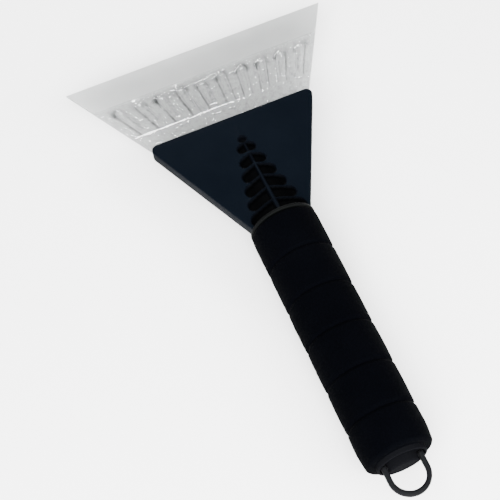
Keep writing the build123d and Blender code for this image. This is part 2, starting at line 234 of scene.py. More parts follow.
def moulded_plastic(name, colour, pale, gloss, grain_size, grain_depth, specular):
    """Injection-moulded plastic: a fine spark grain, clouded gloss and faint rubbed streaks."""
    material, nodes, links = empty_material(name)

    coords = nodes.new("ShaderNodeTexCoord")
    coords.label = "Place on the piece"
    streak_place = nodes.new("ShaderNodeMapping")
    streak_place.label = "Streaks run along the handle"
    streak_place.inputs["Scale"].default_value = (900, 60, 900)

    cloud = nodes.new("ShaderNodeTexNoise")
    cloud.label = "Cloudy flow of the melt"
    cloud.inputs["Scale"].default_value = 55
    cloud.inputs["Detail"].default_value = 4
    grain = nodes.new("ShaderNodeTexNoise")
    grain.label = "Spark grain of the mould"
    grain.inputs["Scale"].default_value = 1 / grain_size
    grain.inputs["Detail"].default_value = 3
    streaks = nodes.new("ShaderNodeTexNoise")
    streaks.label = "Rubbed streaks"
    streaks.inputs["Scale"].default_value = 1
    streaks.inputs["Detail"].default_value = 5

    tone = nodes.new("ShaderNodeMix")
    tone.label = "Colour with a paler cloud"
    tone.data_type = "RGBA"
    tone.inputs["A"].default_value = (*colour, 1)
    tone.inputs["B"].default_value = (*pale, 1)
    # Painted shade: a "hollow" attribute darkens the colour to 0.15 of itself inside the tread hollows, as
    # shade in the recesses.
    hollow = nodes.new("ShaderNodeAttribute")
    hollow.label = "Depth of a hollow"
    hollow.attribute_name = "hollow"
    depth = nodes.new("ShaderNodeMix")
    depth.label = "Painted shade inside the hollows"
    depth.data_type = "RGBA"
    depth.inputs["B"].default_value = tuple(0.15 * part for part in colour) + (1,)

    gloss_range = nodes.new("ShaderNodeMapRange")
    gloss_range.label = "Gloss from cloud to cloud"
    gloss_range.inputs["From Min"].default_value = 0.3
    gloss_range.inputs["From Max"].default_value = 0.7
    gloss_range.inputs["To Min"].default_value = gloss - 0.05
    gloss_range.inputs["To Max"].default_value = gloss + 0.07
    streak_range = nodes.new("ShaderNodeMapRange")
    streak_range.label = "Duller where it is rubbed"
    streak_range.inputs["From Min"].default_value = 0.55
    streak_range.inputs["From Max"].default_value = 0.8
    streak_range.inputs["To Max"].default_value = 0.12
    rough = nodes.new("ShaderNodeMath")
    rough.label = "Gloss and rubbing together"
    rough.operation = "ADD"

    bump = nodes.new("ShaderNodeBump")
    bump.label = "Grain stands up"
    bump.inputs["Strength"].default_value = 0.5
    bump.inputs["Distance"].default_value = grain_depth
    shader = nodes.new("ShaderNodeBsdfPrincipled")
    shader.label = "Moulded plastic"
    shader.inputs["Specular IOR Level"].default_value = specular
    output = nodes.new("ShaderNodeOutputMaterial")
    output.label = "Surface"

    for texture in (cloud, grain, streak_place):
        links.new(coords.outputs["Object"], texture.inputs["Vector"])
    links.new(streak_place.outputs["Vector"], streaks.inputs["Vector"])
    links.new(cloud.outputs["Fac"], tone.inputs["Factor"])
    links.new(tone.outputs["Result"], depth.inputs["A"])
    links.new(hollow.outputs["Fac"], depth.inputs["Factor"])
    links.new(depth.outputs["Result"], shader.inputs["Base Color"])
    links.new(cloud.outputs["Fac"], gloss_range.inputs["Value"])
    links.new(streaks.outputs["Fac"], streak_range.inputs["Value"])
    links.new(gloss_range.outputs["Result"], rough.inputs[0])
    links.new(streak_range.outputs["Result"], rough.inputs[1])
    links.new(rough.outputs["Value"], shader.inputs["Roughness"])
    links.new(grain.outputs["Fac"], bump.inputs["Height"])
    links.new(bump.outputs["Normal"], shader.inputs["Normal"])
    links.new(shader.outputs["BSDF"], output.inputs["Surface"])

    columns = (
        (coords, streak_place),
        (cloud, grain, streaks, hollow),
        (tone, gloss_range, streak_range),
        (depth, rough, bump),
        (shader,),
        (output,),
    )
    set_out(columns)
    groups = (
        ("Colour", (cloud, tone, hollow, depth)),
        ("Roughness", (gloss_range, streak_place, streaks, streak_range, rough)),
        ("Grain", (grain, bump)),
    )
    for label, members in groups:
        box = nodes.new("NodeFrame")
        box.label = label
        for node in members:
            node.parent = box
    return material


def closed_cell_foam(name):
    """Matte black foam: fine open pores, a soft skin and worn, slightly paler patches."""
    material, nodes, links = empty_material(name)

    coords = nodes.new("ShaderNodeTexCoord")
    coords.label = "Place on the grip"
    pores = nodes.new("ShaderNodeTexVoronoi")
    pores.label = "Cut cells of the foam"
    pores.inputs["Scale"].default_value = 1600
    fuzz = nodes.new("ShaderNodeTexNoise")
    fuzz.label = "Soft skin between the cells"
    fuzz.inputs["Scale"].default_value = 900
    fuzz.inputs["Detail"].default_value = 4
    patches = nodes.new("ShaderNodeTexNoise")
    patches.label = "Handled patches"
    patches.inputs["Scale"].default_value = 45
    patches.inputs["Detail"].default_value = 4

    tone = nodes.new("ShaderNodeMix")
    tone.label = "Black foam, paler where handled"
    tone.data_type = "RGBA"
    tone.inputs["A"].default_value = (0.00012, 0.00018, 0.0004, 1)
    tone.inputs["B"].default_value = (0.0004, 0.0005, 0.0009, 1)
    # Painted shade: each foam cell is darker towards its middle, as shade in its pit.
    pore_shade = nodes.new("ShaderNodeMapRange")
    pore_shade.label = "Shade in each cell"
    pore_shade.inputs["From Max"].default_value = 0.6
    pore_shade.inputs["To Min"].default_value = 0.55
    pore_shade.inputs["To Max"].default_value = 1.15
    shaded = nodes.new("ShaderNodeMix")
    shaded.label = "Painted shade in the cells"
    shaded.data_type = "RGBA"
    shaded.blend_type = "MULTIPLY"
    shaded.inputs["Factor"].default_value = 1
    height = nodes.new("ShaderNodeMath")
    height.label = "Cells and skin together"
    height.operation = "ADD"
    bump = nodes.new("ShaderNodeBump")
    bump.label = "Foam surface"
    bump.inputs["Strength"].default_value = 0.6
    bump.inputs["Distance"].default_value = 0.12 * MM
    dull = nodes.new("ShaderNodeMapRange")
    dull.label = "Dull, smoother where handled"
    dull.inputs["To Min"].default_value = 1.0
    dull.inputs["To Max"].default_value = 0.82
    shader = nodes.new("ShaderNodeBsdfPrincipled")
    shader.label = "Foam"
    shader.inputs["Specular IOR Level"].default_value = 0.008
    output = nodes.new("ShaderNodeOutputMaterial")
    output.label = "Surface"

    for texture in (pores, fuzz, patches):
        links.new(coords.outputs["Object"], texture.inputs["Vector"])
    links.new(patches.outputs["Fac"], tone.inputs["Factor"])
    links.new(pores.outputs["Distance"], pore_shade.inputs["Value"])
    links.new(tone.outputs["Result"], shaded.inputs["A"])
    links.new(pore_shade.outputs["Result"], shaded.inputs["B"])
    links.new(shaded.outputs["Result"], shader.inputs["Base Color"])
    links.new(pores.outputs["Distance"], height.inputs[0])
    links.new(fuzz.outputs["Fac"], height.inputs[1])
    links.new(height.outputs["Value"], bump.inputs["Height"])
    links.new(bump.outputs["Normal"], shader.inputs["Normal"])
    links.new(patches.outputs["Fac"], dull.inputs["Value"])
    links.new(dull.outputs["Result"], shader.inputs["Roughness"])
    links.new(shader.outputs["BSDF"], output.inputs["Surface"])

    columns = (
        (coords,),
        (pores, fuzz, patches),
        (pore_shade, tone, height),
        (shaded, dull, bump),
        (shader,),
        (output,),
    )
    set_out(columns)
    groups = (
        ("Colour", (patches, tone, pore_shade, shaded)),
        ("Cells", (pores, fuzz, height, bump)),
        ("Roughness", (dull,)),
    )
    for label, members in groups:
        box = nodes.new("NodeFrame")
        box.label = label
        for node in members:
            node.parent = box
    return material


def clear_blade_plastic(name):
    """Clear, slightly milky plastic with flow haze, painted shade on the rib walls, rib tips and sink
    marks, and a frosted scraping bevel.
    """
    material, nodes, links = empty_material(name)

    coords = nodes.new("ShaderNodeTexCoord")
    coords.label = "Place on the blade"
    flow_place = nodes.new("ShaderNodeMapping")
    flow_place.label = "Flow lines fan towards the edge"
    flow_place.inputs["Scale"].default_value = (260, 40, 260)
    flow = nodes.new("ShaderNodeTexNoise")
    flow.label = "Flow lines"
    flow.inputs["Scale"].default_value = 1
    flow.inputs["Detail"].default_value = 4
    haze = nodes.new("ShaderNodeTexNoise")
    haze.label = "Haze in the plastic"
    haze.inputs["Scale"].default_value = 70
    haze.inputs["Detail"].default_value = 5
    scratch_place = nodes.new("ShaderNodeMapping")
    scratch_place.label = "Scratches run towards the edge"
    scratch_place.inputs["Scale"].default_value = (3200, 90, 3200)
    scratches = nodes.new("ShaderNodeTexNoise")
    scratches.label = "Fine scratches from ice"
    scratches.inputs["Scale"].default_value = 1
    scratches.inputs["Detail"].default_value = 3

    sinks = nodes.new("ShaderNodeTexNoise")
    sinks.label = "Sink marks among the ribs"
    sinks.inputs["Scale"].default_value = 430
    sinks.inputs["Detail"].default_value = 3

    # Painted shade: the "wall" attribute greys the rib walls and tips, standing in for the light they bend
    # away.
    wall = nodes.new("ShaderNodeAttribute")
    wall.label = "Painted shade on the rib walls"
    wall.attribute_name = "wall"
    frost = nodes.new("ShaderNodeAttribute")
    frost.label = "Frosted bevel"
    frost.attribute_name = "frost"
    sunk = nodes.new("ShaderNodeAttribute")
    sunk.label = "Where the plastic sank"
    sunk.attribute_name = "sunk"

    tone = nodes.new("ShaderNodeMix")
    tone.label = "Clear plastic with haze"
    tone.data_type = "RGBA"
    tone.inputs["A"].default_value = (0.49, 0.5, 0.498, 1)
    tone.inputs["B"].default_value = (0.35, 0.36, 0.358, 1)
    # Painted shade: this dark colour goes on the rib walls, the rib tips and the deeper sink marks.
    wall_shade_tone = nodes.new("ShaderNodeMix")
    wall_shade_tone.label = "Painted shade at the rib walls and sinks"
    wall_shade_tone.data_type = "RGBA"
    wall_shade_tone.inputs["B"].default_value = (0.012, 0.014, 0.015, 1)
    sink_range = nodes.new("ShaderNodeMapRange")
    sink_range.label = "Only the deeper sinks"
    sink_range.inputs["From Min"].default_value = 0.5
    sink_range.inputs["From Max"].default_value = 0.78
    sink_here = nodes.new("ShaderNodeMath")
    sink_here.label = "Sinks off the bevel and the root step"
    sink_here.operation = "MULTIPLY"
    # The sink marks' bump is real surface; the grey they add here is painted shade.
    painted_shade_share = nodes.new("ShaderNodeMath")
    painted_shade_share.label = "Painted shade of walls and sinks"
    painted_shade_share.operation = "MULTIPLY_ADD"
    painted_shade_share.use_clamp = True
    painted_shade_share.inputs[1].default_value = 0.55
    sink_bump = nodes.new("ShaderNodeBump")
    sink_bump.label = "Sinks bend the light"
    sink_bump.inputs["Strength"].default_value = 0.55
    sink_bump.inputs["Distance"].default_value = 0.35 * MM
    rough = nodes.new("ShaderNodeMapRange")
    rough.label = "Frost scatters the light"
    rough.inputs["To Min"].default_value = 0.06
    rough.inputs["To Max"].default_value = 0.32
    scratched = nodes.new("ShaderNodeMapRange")
    scratched.label = "Scratches scatter it too"
    scratched.inputs["From Min"].default_value = 0.6
    scratched.inputs["From Max"].default_value = 0.75
    scratched.inputs["To Max"].default_value = 0.15
    rough_all = nodes.new("ShaderNodeMath")
    rough_all.label = "All of the roughness"
    rough_all.operation = "ADD"
    bump = nodes.new("ShaderNodeBump")
    bump.label = "Surface ripples with the flow"
    bump.inputs["Strength"].default_value = 0.35
    bump.inputs["Distance"].default_value = 0.15 * MM
    shader = nodes.new("ShaderNodeBsdfPrincipled")
    shader.label = "Clear plastic"
    shader.inputs["IOR"].default_value = 1.49
    shader.inputs["Transmission Weight"].default_value = 0.86
    output = nodes.new("ShaderNodeOutputMaterial")
    output.label = "Surface"

    for texture in (flow_place, scratch_place, haze, sinks):
        links.new(coords.outputs["Object"], texture.inputs["Vector"])
    links.new(flow_place.outputs["Vector"], flow.inputs["Vector"])
    links.new(scratch_place.outputs["Vector"], scratches.inputs["Vector"])
    links.new(haze.outputs["Fac"], tone.inputs["Factor"])
    links.new(tone.outputs["Result"], wall_shade_tone.inputs["A"])
    links.new(sinks.outputs["Fac"], sink_range.inputs["Value"])
    links.new(sink_range.outputs["Result"], sink_here.inputs[0])
    links.new(sunk.outputs["Fac"], sink_here.inputs[1])
    links.new(sink_here.outputs["Value"], painted_shade_share.inputs[0])
    links.new(wall.outputs["Fac"], painted_shade_share.inputs[2])
    links.new(painted_shade_share.outputs["Value"], wall_shade_tone.inputs["Factor"])
    links.new(sink_here.outputs["Value"], sink_bump.inputs["Height"])
    links.new(wall_shade_tone.outputs["Result"], shader.inputs["Base Color"])
    links.new(frost.outputs["Fac"], rough.inputs["Value"])
    links.new(scratches.outputs["Fac"], scratched.inputs["Value"])
    links.new(rough.outputs["Result"], rough_all.inputs[0])
    links.new(scratched.outputs["Result"], rough_all.inputs[1])
    links.new(rough_all.outputs["Value"], shader.inputs["Roughness"])
    links.new(flow.outputs["Fac"], bump.inputs["Height"])
    links.new(bump.outputs["Normal"], sink_bump.inputs["Normal"])
    links.new(sink_bump.outputs["Normal"], shader.inputs["Normal"])
    links.new(shader.outputs["BSDF"], output.inputs["Surface"])

    columns = (
        (coords, flow_place, scratch_place),
        (haze, flow, scratches, sinks, wall, frost, sunk),
        (tone, scratched, rough, sink_range),
        (sink_here, rough_all, bump),
        (painted_shade_share, sink_bump),
        (wall_shade_tone,),
        (shader,),
        (output,),
    )
    set_out(columns)
    groups = (
        ("Colour", (haze, tone, wall, wall_shade_tone)),
        ("Roughness", (frost, rough, scratch_place, scratches, scratched, rough_all)),
        ("Ripples", (flow_place, flow, bump)),
        ("Sink marks", (sinks, sunk, sink_range, sink_here, painted_shade_share, sink_bump)),
    )
    for label, members in groups:
        box = nodes.new("NodeFrame")
        box.label = label
        for node in members:
            node.parent = box
    return material


def zinc_steel(name):
    """Zinc-plated screw steel: a brushed grain and patches of duller plating."""
    material, nodes, links = empty_material(name)

    coords = nodes.new("ShaderNodeTexCoord")
    coords.label = "Place on the fastener"
    brushed = nodes.new("ShaderNodeTexNoise")
    brushed.label = "Turning marks"
    brushed.inputs["Scale"].default_value = 2500
    patches = nodes.new("ShaderNodeTexNoise")
    patches.label = "Patches in the plating"
    patches.inputs["Scale"].default_value = 600
    tone = nodes.new("ShaderNodeMix")
    tone.label = "Zinc colour"
    tone.data_type = "RGBA"
    tone.inputs["A"].default_value = (0.52, 0.53, 0.56, 1)
    tone.inputs["B"].default_value = (0.36, 0.36, 0.37, 1)
    dull = nodes.new("ShaderNodeMapRange")
    dull.label = "Duller patches"
    dull.inputs["To Min"].default_value = 0.25
    dull.inputs["To Max"].default_value = 0.5
    bump = nodes.new("ShaderNodeBump")
    bump.label = "Marks stand up"
    bump.inputs["Strength"].default_value = 0.3
    bump.inputs["Distance"].default_value = 0.02 * MM
    shader = nodes.new("ShaderNodeBsdfPrincipled")
    shader.label = "Zinc-plated steel"
    shader.inputs["Metallic"].default_value = 1
    output = nodes.new("ShaderNodeOutputMaterial")
    output.label = "Surface"

    for texture in (brushed, patches):
        links.new(coords.outputs["Object"], texture.inputs["Vector"])
    links.new(patches.outputs["Fac"], tone.inputs["Factor"])
    links.new(tone.outputs["Result"], shader.inputs["Base Color"])
    links.new(patches.outputs["Fac"], dull.inputs["Value"])
    links.new(dull.outputs["Result"], shader.inputs["Roughness"])
    links.new(brushed.outputs["Fac"], bump.inputs["Height"])
    links.new(bump.outputs["Normal"], shader.inputs["Normal"])
    links.new(shader.outputs["BSDF"], output.inputs["Surface"])

    columns = ((coords,), (patches, brushed), (tone, dull, bump), (shader,), (output,))
    set_out(columns)
    groups = (("Plating", (patches, tone, dull)), ("Marks", (brushed, bump)))
    for label, members in groups:
        box = nodes.new("NodeFrame")
        box.label = label
        for node in members:
            node.parent = box
    return material


def pale_floor(name):
    """A plain pale studio floor with a barely visible mottle."""
    material, nodes, links = empty_material(name)

    coords = nodes.new("ShaderNodeTexCoord")
    coords.label = "Place on the floor"
    mottle = nodes.new("ShaderNodeTexNoise")
    mottle.label = "Faint mottle"
    mottle.inputs["Scale"].default_value = 12
    tone = nodes.new("ShaderNodeMix")
    tone.label = "Pale floor"
    tone.data_type = "RGBA"
    tone.inputs["A"].default_value = (0.93, 0.93, 0.93, 1)
    tone.inputs["B"].default_value = (0.9, 0.9, 0.9, 1)
    shader = nodes.new("ShaderNodeBsdfPrincipled")
    shader.label = "Floor"
    shader.inputs["Roughness"].default_value = 0.9
    shader.inputs["Specular IOR Level"].default_value = 0.1
    output = nodes.new("ShaderNodeOutputMaterial")
    output.label = "Surface"
    links.new(coords.outputs["Object"], mottle.inputs["Vector"])
    links.new(mottle.outputs["Fac"], tone.inputs["Factor"])
    links.new(tone.outputs["Result"], shader.inputs["Base Color"])
    links.new(shader.outputs["BSDF"], output.inputs["Surface"])
    for column, node in enumerate((coords, mottle, tone, shader, output)):
        node.location = (240 * column, 0)
    return material


HEAD_PLASTIC = moulded_plastic(
    "head_plastic", colour=(0.0009, 0.0015, 0.0026), pale=(0.0014, 0.0022, 0.0037),
    gloss=0.42, grain_size=0.35 * MM, grain_depth=0.02 * MM, specular=0.008,
)
# Painted shade: the tread hollows' material is darker as shade in the recesses; its coarser grain and
# duller gloss are the finish.
TREAD_SHADE_PLASTIC = moulded_plastic(
    "tread_shade_plastic", colour=(0.0004, 0.0006, 0.0012), pale=(0.0007, 0.001, 0.0018),
    gloss=0.7, grain_size=0.6 * MM, grain_depth=0.05 * MM, specular=0.01,
)
RING_PLASTIC = moulded_plastic(
    "ring_plastic", colour=(0.0014, 0.0016, 0.0016), pale=(0.0022, 0.0024, 0.0024),
    gloss=0.55, grain_size=0.3 * MM, grain_depth=0.015 * MM, specular=0.015,
)
CAP_PLASTIC = moulded_plastic(
    "cap_plastic", colour=(0.0016, 0.0017, 0.0021), pale=(0.0026, 0.0027, 0.0033),
    gloss=0.45, grain_size=0.3 * MM, grain_depth=0.02 * MM, specular=0.0008,
)
LOOP_PLASTIC = moulded_plastic(
    "loop_plastic", colour=(0.0034, 0.0035, 0.0039), pale=(0.0052, 0.0054, 0.006),
    gloss=0.4, grain_size=0.3 * MM, grain_depth=0.012 * MM, specular=0.005,
)
TUBE_PLASTIC = moulded_plastic(
    "tube_plastic", colour=(0.004, 0.004, 0.0045), pale=(0.007, 0.007, 0.0078),
    gloss=0.5, grain_size=0.4 * MM, grain_depth=0.02 * MM, specular=0.2,
)
FOAM = closed_cell_foam("grip_foam")
CLEAR = clear_blade_plastic("clear_blade")
STEEL = zinc_steel("screw_steel")

# --------------------------------------------
# Head: a plate that widens towards the blade, a domed thumb rest and its fir-tree tread

HEAD_LENGTH = HEAD_FRONT - HEAD_BACK
HEAD_HALF_BACK = 14.6 * MM
HEAD_HALF_FRONT = 44.1 * MM
SIDE_SLOPE = (HEAD_HALF_FRONT - HEAD_HALF_BACK) / HEAD_LENGTH
SIDE_ANGLE = atan(SIDE_SLOPE)
HEAD_CORNER_R = 3.0 * MM
CORNER_Y = HEAD_FRONT - HEAD_CORNER_R
CORNER_X = HEAD_HALF_FRONT - SIDE_SLOPE * HEAD_CORNER_R - HEAD_CORNER_R / cos(SIDE_ANGLE)
PLATE_TOP = 5.5 * MM
PLATE_BOTTOM = COVER_LOW.z
SEAM = COVER_HIGH.z
HEAD_EDGE_R = 0.9 * MM
HEAD_WALL = 1.6 * MM
FILLET = 1.3 * MM

NECK_RISE = 11.0 * MM
NECK_LENGTH = 16.0 * MM
RAMP_LENGTH = 50.0 * MM
RAMP_BACK_HALF, RAMP_TIP_HALF = 14.0 * MM, 4.5 * MM
RAMP_BACK_RISE, RAMP_TIP_RISE = 10.6 * MM, 5.6 * MM
RAMP_OVERRUN = 1.15

TREAD_ROWS = 6
TREAD_PITCH = 7.7 * MM
TREAD_FIRST = HEAD_BACK + 44.0 * MM
TREAD_SWEEP = radians(11)
SPINE_FRONT_HALF, SPINE_BACK_HALF = 0.35 * MM, 0.9 * MM
LOBE_RIM = 0.8 * MM
LOBE_DEPTH = 1.15 * MM
LOBE_MARGIN = 0.3 * MM
LOBE_BACK_HALF, LOBE_FRONT_HALF = 3.6 * MM, 2.7 * MM
LOBE_REACH, LOBE_REACH_STEP, LOBE_REACH_EASE = 4.7 * MM, 2.05 * MM, 0.04 * MM
TIP_LOBE = Vector((0, TREAD_FIRST + 5.0 * MM))
TIP_LOBE_R = 2.1 * MM
TIP_LOBE_SHARE = 0.7
TREAD_LOWEST = PLATE_TOP - 2 * LOBE_DEPTH


def side_line(y):
    """Half the head's width at a place along the handle, before its front corners are rounded."""
    return HEAD_HALF_BACK + SIDE_SLOPE * (y - HEAD_BACK)


def head_half(y):
    """Half the head's width, front corners included."""
    ahead = y - CORNER_Y
    if ahead <= -HEAD_CORNER_R * sin(SIDE_ANGLE):
        return side_line(y)
    return CORNER_X + sqrt(max(HEAD_CORNER_R**2 - ahead**2, 0.0))


def rim_depth(x, y):
    """How far inside the head's outline a point lies."""
    out, ahead = abs(x) - CORNER_X, y - CORNER_Y
    if out > 0 and ahead > -SIDE_SLOPE * out:
        return max(HEAD_CORNER_R - hypot(out, ahead), 0.0)
    return max(min((side_line(y) - abs(x)) * cos(SIDE_ANGLE), HEAD_FRONT - y), 0.0)


def neck_shell(x, y):
    """Height of the neck's crown above its middle, and the height of that middle."""
    share = (y - HEAD_BACK) / NECK_LENGTH
    half = between(HEAD_HALF_BACK, side_line(HEAD_BACK + NECK_LENGTH) - HEAD_CORNER_R, share)
    rise = between(NECK_RISE, (PLATE_TOP - PLATE_BOTTOM) / 2, share)
    if share > 1 or abs(x) >= half:
        return 0.0, 0.0
    return rise * sqrt(1 - (x / half) ** 2), share * (PLATE_TOP + PLATE_BOTTOM) / 2


def ramp_crown(x, y):
    """Height of the thumb rest."""
    share = (y - HEAD_BACK) / RAMP_LENGTH
    half = between(RAMP_BACK_HALF, RAMP_TIP_HALF, share)
    if share > RAMP_OVERRUN or abs(x) >= half:
        return 0.0
    return between(RAMP_BACK_RISE, RAMP_TIP_RISE, share) * sqrt(1 - (x / half) ** 2)


def tread_lobes():
    """The hollows of one side, which run out from the spine: the ends of each and its half width."""
    lobes = []
    for row in range(TREAD_ROWS):
        half = between(LOBE_FRONT_HALF, LOBE_BACK_HALF, smooth_step(-0.5, 2.5, row))
        outer = LOBE_REACH + LOBE_REACH_STEP * row - LOBE_REACH_EASE * row**2 - half
        y = TREAD_FIRST - row * TREAD_PITCH
        lobes.append((Vector((0, y)), Vector((outer, y - outer * sin(TREAD_SWEEP))), half))
    return lobes


LOBES = tread_lobes()


def hollow_share(x, y, margin=0.0):
    """1 on the floor of a tread hollow, 0 outside it and outside a margin round it."""
    point = Vector((abs(x), y))
    widening = min(max((TREAD_FIRST - y) / (TREAD_ROWS * TREAD_PITCH), 0.0), 1.0)
    spine_half = between(SPINE_FRONT_HALF, SPINE_BACK_HALF, widening)
    spine = smooth_step(spine_half, spine_half + LOBE_RIM, abs(x) + margin)
    tip_away = (point - TIP_LOBE).length - margin
    share = TIP_LOBE_SHARE * (1 - smooth_step(TIP_LOBE_R - LOBE_RIM, TIP_LOBE_R, tip_away))
    for inner, outer, half in LOBES:
        run = outer - inner
        along = min(max((point - inner).dot(run) / run.length_squared, 0.0), 1.0)
        away = (point - inner - run * along).length - margin
        share = max(share, spine * (1 - smooth_step(half - LOBE_RIM, half, away)))
    return share


def head_top(x, y):
    """Height of the head's upper face."""
    plate = PLATE_TOP - round_edge(rim_depth(x, y), HEAD_EDGE_R)
    crown, middle = neck_shell(x, y)
    height = soft_max(plate, middle + crown, FILLET) if crown > 0 else plate
    ramp = ramp_crown(x, y)
    if ramp > 0:
        height = soft_max(height, ramp, FILLET)
    return height - LOBE_DEPTH * hollow_share(x, y)


def head_bottom(x, y):
    """Height of the head's lower face: flat over the cover, and a rounded belly behind it."""
    if y > COVER_BACK:
        return SEAM
    plate = PLATE_BOTTOM + round_edge((side_line(y) - abs(x)) * cos(SIDE_ANGLE), HEAD_EDGE_R)
    crown, middle = neck_shell(x, y)
    return -soft_max(-plate, crown - middle, FILLET) if crown > 0 else plate


TREAD_END = HEAD_BACK + 52 * MM
EDGE_STEPS = (0.0, 0.06 * MM, 0.2 * MM, 0.45 * MM, 0.9 * MM, 1.6 * MM)
INNER_SHARES = ladder((-0.97, -0.2, 32), (-0.2, 0.2, 34), (0.2, 0.97, 32))
HEAD_COLUMNS = 2 * len(EDGE_STEPS) + len(INNER_SHARES)
CORNER_STEPS = 14
CORNER_ROWS = [
    CORNER_Y + HEAD_CORNER_R * sin(between(-SIDE_ANGLE, pi / 2, (step + 1) / CORNER_STEPS))
    for step in range(CORNER_STEPS)
]
HEAD_ROWS = (
    ladder(
        (HEAD_BACK, COVER_BACK, 44),
        (COVER_BACK, COVER_BACK + SHARP, 1),
        (COVER_BACK + SHARP, TREAD_END, 68),
        (TREAD_END, CORNER_Y - HEAD_CORNER_R * sin(SIDE_ANGLE), 7),
    )
    + CORNER_ROWS
)


def head_x(column, y):
    """Place across the head of a grid column: evenly inside, and close together at the edges."""
    half = head_half(y)
    last = len(EDGE_STEPS)
    if column < last:
        return EDGE_STEPS[column] - half
    if column >= HEAD_COLUMNS - last:
        return half - EDGE_STEPS[HEAD_COLUMNS - 1 - column]
    return INNER_SHARES[column - last] * (half - EDGE_STEPS[-1])


def head_top_place(column, row):
    """Where a grid point of the head's upper face lies."""
    x = head_x(column, HEAD_ROWS[row])
    return x, HEAD_ROWS[row], head_top(x, HEAD_ROWS[row])


def head_bottom_place(column, row):
    """Where a grid point of the head's lower face lies."""
    x = head_x(column, HEAD_ROWS[row])
    return x, HEAD_ROWS[row], head_bottom(x, HEAD_ROWS[row])


SPIGOT_R = 8.45 * MM
SPIGOT_BORE_R = 6.4 * MM
SPIGOT_EDGE_R = 0.5 * MM
CAVITY_BACK = COVER_BACK + 2.0 * MM
CAVITY_TOP = 3.7 * MM
SLOT_GAP = 0.1 * MM
SLOT_TOP = BLADE_HIGH.z + SLOT_GAP
SLOT_BACK = HEAD_FRONT - 4.1 * MM
SCREW_BOSS_R = 3.0 * MM
PILOT_R = 1.22 * MM
PILOT_DEPTH = 3.6 * MM
TANG_SCREW = (24.0 * MM, HEAD_FRONT - 13.0 * MM)
REAR_SCREW = (10.5 * MM, CAVITY_BACK + 5.5 * MM)
SCREW_SPOTS = [(side * x, y) for x, y in (TANG_SCREW, REAR_SCREW) for side in (-1, 1)]
PIN_HOLE_R = 1.52 * MM
PIN_HOLE_Y = HEAD_BACK - 14 * MM
RUN_PAST = 1.0 * MM


def pocket_outline(back, front):
    """The plan of a pocket in the head, one wall in from its sides."""
    inward = HEAD_WALL / cos(SIDE_ANGLE)
    narrow, wide = side_line(back) - inward, side_line(front) - inward
    return [(-narrow, back), (narrow, back), (wide, front), (-wide, front)]


head, bm = new_mesh("head_shell")
sheet_pair(bm, HEAD_COLUMNS, len(HEAD_ROWS), head_top_place, head_bottom_place)
close_mesh(head, bm)

cutter, bm = new_mesh("spigot")
turned(
    bm,
    rounded(
        [
            (SPIGOT_BORE_R, HEAD_LOW.y, SPIGOT_EDGE_R),
            (SPIGOT_R, HEAD_LOW.y, SPIGOT_EDGE_R),
            (SPIGOT_R, HEAD_BACK + RUN_PAST, 0),
            (SPIGOT_BORE_R, HEAD_BACK + RUN_PAST, 0),
        ]
    ),
    steps=64,
)
carve(head, "UNION", cutter, bm)

for back, top in ((CAVITY_BACK, CAVITY_TOP), (SLOT_BACK, SLOT_TOP)):
    cutter, bm = new_mesh("pocket")
    prism(bm, pocket_outline(back, HEAD_FRONT + RUN_PAST), SEAM - RUN_PAST, top)
    carve(head, "DIFFERENCE", cutter, bm)

cutter, bm = new_mesh("screw_bosses")
for x, y in SCREW_SPOTS:
    height = CAVITY_TOP + RUN_PAST / 2 - SEAM
    rod(bm, SCREW_BOSS_R, height, Matrix.Translation((x, y, SEAM + height / 2)), 48)
carve(head, "UNION", cutter, bm)

cutter, bm = new_mesh("pilot_holes")
for x, y in SCREW_SPOTS:
    height = PILOT_DEPTH + RUN_PAST
    rod(bm, PILOT_R, height, Matrix.Translation((x, y, PILOT_DEPTH - height / 2)))
across = Matrix.Translation((0, PIN_HOLE_Y, 0)) @ Matrix.Rotation(pi / 2, 4, "Y")
rod(bm, PIN_HOLE_R, 2 * SPIGOT_R + 2 * RUN_PAST, across)
carve(head, "DIFFERENCE", cutter, bm)

# Painted shade: how far into a tread hollow each vertex lies, which darkens the plastic there.
paint(head, "hollow", lambda co: hollow_share(co.x, co.y) if co.z > TREAD_LOWEST else 0.0)
finish_piece(head, HEAD_PLASTIC)
# The tread's hollows get a second material: a coarser, duller grain, and a darker colour that is painted
# shade in the recesses.
head.data.materials.append(TREAD_SHADE_PLASTIC)
for polygon in head.data.polygons:
    if polygon.center.z > TREAD_LOWEST and hollow_share(*polygon.center[:2], LOBE_MARGIN) > 0:
        polygon.material_index = 1

# --------------------------------------------
# Blade: clear plastic with a raised root, fanned ribs with a scoop in each, and a bevel

BLADE_HALF_TIP = BLADE_HIGH.x
BLADE_HALF_ROOT = 42.15 * MM
BLADE_REACH = BLADE_TIP - HEAD_FRONT
TANG_TOP = 3.2 * MM
TANG_FRONT = HEAD_FRONT - 4 * MM
ROOT_TOP = BLADE_HIGH.z
ROOT_STEP_TOP = 4.1 * MM
RIB_BACK = HEAD_FRONT + 9.0 * MM
RIB_FRONT = HEAD_FRONT + 31.0 * MM
FLOOR_BACK = 2.5 * MM
FLOOR_FRONT = 1.9 * MM
TIP_TOP = 0.0
TIP_BOTTOM = BLADE_LOW.z
RIBS = 10
RIB_PITCH = 0.1924
RIB_HALF = 0.057
RIB_TOP_BACK = 4.0 * MM
RIB_TOP_FRONT = 3.3 * MM
RIB_RUN_OUT = 1.5 * MM
RIB_UNEVEN = 1.4 * MM
RIB_FLANK = 0.66
SCOOP_START = RIB_BACK + 5.5 * MM
SCOOP_DEEP, SCOOP_SHALLOW = 1.4 * MM, 0.7 * MM
SCOOP_GAP = 0.6 * MM
SCOOP_WIDTH = 0.62
SCOOP_FLANK = 0.3
STEP_RUN = 0.9 * MM
TANG_HOLE_GAP = 0.15 * MM
